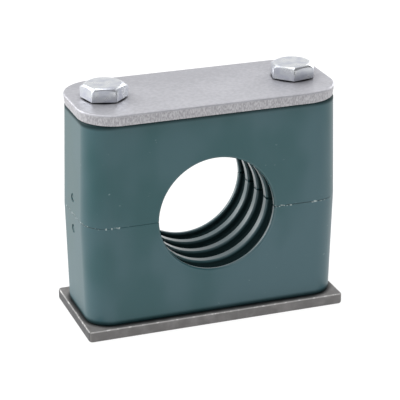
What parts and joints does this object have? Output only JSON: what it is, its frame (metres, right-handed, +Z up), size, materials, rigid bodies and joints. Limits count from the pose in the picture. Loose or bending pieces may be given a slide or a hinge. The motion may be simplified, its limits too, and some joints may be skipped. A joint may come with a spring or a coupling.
{
  "type": "hydraulic tube clamp",
  "caption": "Tube clamp of moulded plastic halves with a ribbed bore, held by hexagon bolts between a steel cover plate and a steel weld plate.",
  "frame": {"origin": "centre of the weld plate's underside", "axes": "+X along the plates, +Y along the tube, +Z up from the weld plate to the bolt heads"},
  "size_m": [0.0716, 0.03, 0.0655],
  "materials": {
    "moulded_polypropylene": "green-grey moulded polypropylene, matt",
    "weld_plate_steel": "raw flat steel, sheared edges, dull",
    "cover_plate_steel": "plated sheet steel, satin, sheared edge",
    "zinc_plated_steel": "bright zinc plating"
  },
  "bodies": {
    "clamp_base": {"weld_plate": "weld_plate_steel", "lower_clamp_half": "moulded_polypropylene"},
    "clamp_top": {"upper_clamp_half": "moulded_polypropylene", "cover_plate": "cover_plate_steel"},
    "left_bolt_body": {"left_bolt": "zinc_plated_steel"},
    "right_bolt_body": {"right_bolt": "zinc_plated_steel"}
  },
  "joints": [
    {"name": "clamp_top_lift", "type": "slide", "parent": "clamp_base", "child": "clamp_top", "axis": [0, 0, 1], "range_m": [0, 0.005]},
    {"name": "left_bolt_turn", "type": "hinge", "parent": "clamp_top", "child": "left_bolt_body", "pos_m": [-0.026, 0, 0.0615], "axis": [0, 0, 1], "range_deg": [0, 1800]},
    {"name": "right_bolt_turn", "type": "hinge", "parent": "clamp_top", "child": "right_bolt_body", "pos_m": [0.026, 0, 0.0615], "axis": [0, 0, 1], "range_deg": [0, 1800]}
  ],
  "couplings": [
    {"joint": "left_bolt_turn", "follows": "clamp_top_lift", "rad_per_m": 6283.1},
    {"joint": "right_bolt_turn", "follows": "clamp_top_lift", "rad_per_m": 6283.1}
  ]
}
